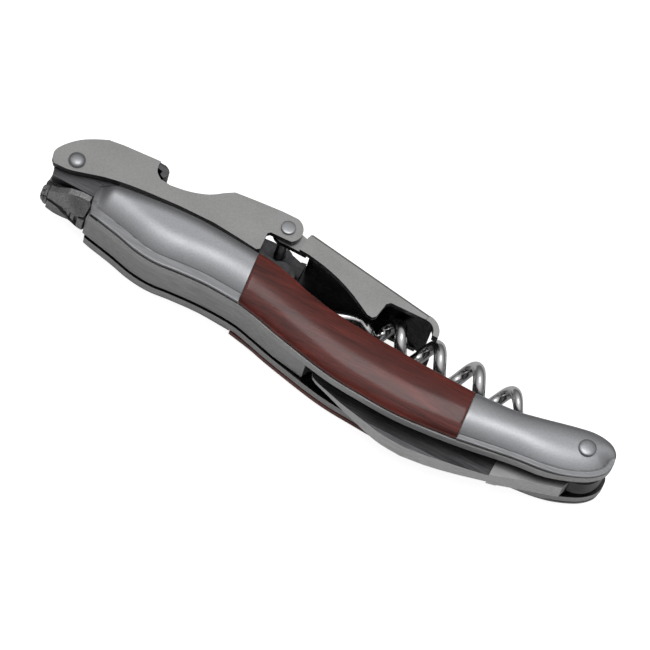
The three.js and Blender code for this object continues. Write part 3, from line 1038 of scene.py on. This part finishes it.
class MakeWorm(bpy.types.Operator):
    """Makes the plated wire worm with its eye, straight shank and sharpened point"""

    bl_idname = "corkscrew.make_worm"
    bl_label = "Worm"

    def centre_line(self, sizes):
        """Places along the middle of the wire and how full the wire is at each."""
        coil, pitch, turns = sizes.coil_radius / MM, sizes.coil_pitch / MM, sizes.coil_turns
        start, hinge = 5.35, PIVOTS["worm_hinge"]

        def axis(x):
            return 4.45 - 0.03 * x

        places = []
        for i in range(25):
            x = hinge.x + 1.9 + (start - hinge.x - 1.9) * i / 25
            rise = ease(-0.5, start, x)
            places.append(((x, hinge.y + (axis(start) - hinge.y) * rise, 0), 1.0))
        steps = round(turns * 40)
        for i in range(steps + 1):
            turn = turns * i / steps
            x = start + turn * pitch
            radius = coil * ease(0, 0.7, turn) * (1 - 0.35 * ease(turns - 1.2, turns, turn))
            angle = math.tau * (turn - 0.75)
            left = (turns - turn) / 0.9
            full = 0.12 + 0.88 * math.sqrt(left * (2 - left)) if left < 1 else 1.0
            places.append(((x, axis(x) + radius * math.cos(angle), radius * math.sin(angle)), full))
        return places

    def execute(self, context):
        sizes = context.scene.corkscrew_sizes
        curve = bpy.data.curves.new("worm_line", "CURVE")
        curve.dimensions = "3D"
        curve.bevel_depth = sizes.wire_radius / MM
        curve.bevel_resolution = 7
        curve.use_fill_caps = True
        places = self.centre_line(sizes)
        line = curve.splines.new("POLY")
        line.points.add(len(places) - 1)
        for point, (place, full) in zip(line.points, places):
            point.co = (*place, 1.0)
            point.radius = full
        wire = bpy.data.objects.new("worm_line", curve)
        bpy.context.scene.collection.objects.link(wire)
        mesh = bpy.data.meshes.new_from_object(wire)
        bm = bmesh.new()
        bm.from_mesh(mesh)
        bpy.data.objects.remove(wire)
        bpy.data.curves.remove(curve)
        bpy.data.meshes.remove(mesh)
        bmesh.ops.remove_doubles(bm, verts=bm.verts, dist=0.002)
        half = sizes.wire_radius / MM
        ring = [(1.3, -half + 0.1), (1.45, -half), (2.1, -half), (2.4, -half * 0.7), (2.5, 0)]
        ring += [(radius, -height) for radius, height in reversed(ring[:-1])]
        turned(bm, PIVOTS["worm_hinge"], ring, sizes.round_steps)
        finish_piece(bm, "plated_worm", "worm", ["worm"], ["worm_chrome"], 50)
        return {"FINISHED"}


class MakeKnife(bpy.types.Operator):
    """Makes the foil knife: bright spine, hollow ground sides made darker with painted shade, and a round
    tang in the painted inside shade
    """

    bl_idname = "corkscrew.make_knife"
    bl_label = "Foil knife"

    TIP_THICKNESS = 0.45  # share of the blade's full thickness
    TAPER = 22
    GRIND_END = 41.6
    TANG = 5.6

    def execute(self, context):
        sizes = context.scene.corkscrew_sizes
        bm = merged_copy("knife_blade")
        tip = min(v.co.x for v in bm.verts)
        for vert in bm.verts:
            thinned = self.TIP_THICKNESS + (1 - self.TIP_THICKNESS) * ease(tip, tip + self.TAPER, vert.co.x)
            vert.co.z *= thinned
        # The ground flats take a darker steel, partly painted shade. The round tang takes the painted inside
        # shade, and the ricasso flats take liner steel.
        for face in bm.faces:
            place = middle_of(face)
            flat = abs(face.normal.z) > 0.4
            round_tang = (place - PIVOTS["knife_hinge"]).xy.length < self.TANG and abs(face.normal.z) < 0.3
            if flat:
                face.material_index = 1 if place.x < self.GRIND_END else 3
            else:
                face.material_index = 2 if round_tang else 0
        round_edges(bm, sharp_edges(bm, 40), 0.7 * sizes.edge_round / MM)
        finishes = ["blade_steel", "grind_and_painted_shade", "inside_painted_shade", "liner_steel"]
        finish_piece(bm, "foil_knife", "knife", ["knife_blade"], finishes)
        return {"FINISHED"}


class MakeStage(bpy.types.Operator):
    """Makes the pale floor, the soft light and the camera"""

    bl_idname = "corkscrew.make_stage"
    bl_label = "Stage"

    FLOOR_HALF = 4
    FLOOR_GLOW = 0.85
    AZIMUTH, ELEVATION, ROLL = 9.0, 60.0, 19.7
    DISTANCE, LENS = 0.860, 247.6

    def make_floor(self, colour):
        bm = bmesh.new()
        bmesh.ops.create_grid(bm, x_segments=1, y_segments=1, size=self.FLOOR_HALF)
        bmesh.ops.translate(bm, verts=bm.verts, vec=(0, 0, CAD_BOX[0].z))
        mesh = bpy.data.meshes.new("floor")
        bm.to_mesh(mesh)
        bm.free()
        floor = bpy.data.objects.new("floor", mesh)
        bpy.context.scene.collection.objects.link(floor)
        shader = Shader("pale_floor")
        shader.surface.inputs["Base Color"].default_value = (*colour, 1)
        shader.surface.inputs["Roughness"].default_value = 0.9
        shader.surface.inputs["Emission Color"].default_value = (1, 1, 1, 1)
        # The floor glows to the camera only, so it shows white without lighting the tool from below.
        path = shader.add("ShaderNodeLightPath")
        glow = shader.add("ShaderNodeMath", operation="MULTIPLY")
        glow.inputs[1].default_value = self.FLOOR_GLOW
        shader.link(path.outputs["Is Camera Ray"], glow.inputs[0])
        shader.link(glow.outputs[0], shader.surface.inputs["Emission Strength"])
        mesh.materials.append(shader.material)

    def make_sky(self):
        """Studio surroundings: bright overhead, dim towards the horizon."""
        world = bpy.data.worlds.new("studio")
        world.use_nodes = True
        tree = world.node_tree
        coordinates = tree.nodes.new("ShaderNodeTexCoord")
        split = tree.nodes.new("ShaderNodeSeparateXYZ")
        ramp = tree.nodes.new("ShaderNodeValToRGB")
        tree.links.new(coordinates.outputs["Generated"], split.inputs[0])
        tree.links.new(split.outputs["Z"], ramp.inputs["Fac"])
        tree.links.new(ramp.outputs["Color"], tree.nodes["Background"].inputs["Color"])
        stops = [(0.0, 0.16), (0.15, 0.13), (0.45, 0.20), (0.72, 0.42), (0.88, 0.66), (1.0, 0.95)]
        elements = ramp.color_ramp.elements
        while len(elements) < len(stops):
            elements.new(0.5)
        for element, (position, level) in zip(elements, stops):
            element.position = position
            element.color = (level, level, level * 1.01, 1)
        tree.nodes["Background"].inputs["Strength"].default_value = 1.0
        bpy.context.scene.world = world

    def add_light(self, name, place, size, power):
        light = bpy.data.lights.new(name, "AREA")
        light.shape = "DISK"
        light.size = size
        light.energy = power
        lamp = bpy.data.objects.new(name, light)
        bpy.context.scene.collection.objects.link(lamp)
        lamp.location = place
        lamp.rotation_mode = "QUATERNION"
        lamp.rotation_quaternion = (-Vector(place)).to_track_quat("-Z", "Y")

    def make_camera(self):
        azimuth, elevation, roll = map(math.radians, (self.AZIMUTH, self.ELEVATION, self.ROLL))
        back = Vector(
            (
                math.sin(azimuth) * math.cos(elevation),
                -math.cos(azimuth) * math.cos(elevation),
                math.sin(elevation),
            )
        )
        right = Vector((math.cos(azimuth), math.sin(azimuth), 0))
        up = back.cross(right)
        across = math.cos(roll) * right + math.sin(roll) * up
        upward = math.cos(roll) * up - math.sin(roll) * right
        camera = bpy.data.objects.new("camera", bpy.data.cameras.new("camera"))
        camera.data.lens = self.LENS
        camera.data.sensor_width = 36
        camera.data.clip_start = 0.05
        turn = Matrix((across, upward, back)).transposed().to_4x4()
        camera.matrix_world = Matrix.Translation(back * self.DISTANCE + DRAWING * MM) @ turn
        bpy.context.scene.collection.objects.link(camera)
        bpy.context.scene.camera = camera

    def execute(self, context):
        self.make_floor(context.scene.corkscrew_colours.floor)
        self.make_sky()
        self.add_light("overhead", (0.0, 0.08, 0.6), 0.27, 0.40)
        self.make_camera()
        context.scene.view_settings.view_transform = "Standard"
        return {"FINISHED"}


class CorkscrewPanel(bpy.types.Panel):
    """Lists the sizes, the colours and the steps that make the corkscrew"""

    bl_idname = "VIEW3D_PT_corkscrew"
    bl_label = "Corkscrew"
    bl_space_type = "VIEW_3D"
    bl_region_type = "UI"
    bl_category = "Corkscrew"

    def draw(self, context):
        for group in (context.scene.corkscrew_sizes, context.scene.corkscrew_colours):
            box = self.layout.box()
            for key in group.__annotations__:
                box.prop(group, key)
        for maker in MAKERS:
            self.layout.operator(maker.bl_idname)


MAKERS = (
    MakeLiners,
    MakeSpring,
    MakeBolsters,
    MakeWood,
    MakeBee,
    MakeLever,
    MakePins,
    MakeWorm,
    MakeKnife,
    MakeStage,
)
CLASSES = (CorkscrewSizes, CorkscrewColours, *MAKERS, CorkscrewPanel)


def register():
    for cls in CLASSES:
        bpy.utils.register_class(cls)
    bpy.types.Scene.corkscrew_sizes = PointerProperty(type=CorkscrewSizes)
    bpy.types.Scene.corkscrew_colours = PointerProperty(type=CorkscrewColours)


def unregister():
    del bpy.types.Scene.corkscrew_colours
    del bpy.types.Scene.corkscrew_sizes
    for cls in reversed(CLASSES):
        bpy.utils.unregister_class(cls)


def main():
    register()
    for maker in MAKERS:
        group, name = maker.bl_idname.split(".")
        getattr(getattr(bpy.ops, group), name)()


if __name__ == "__main__":
    main()
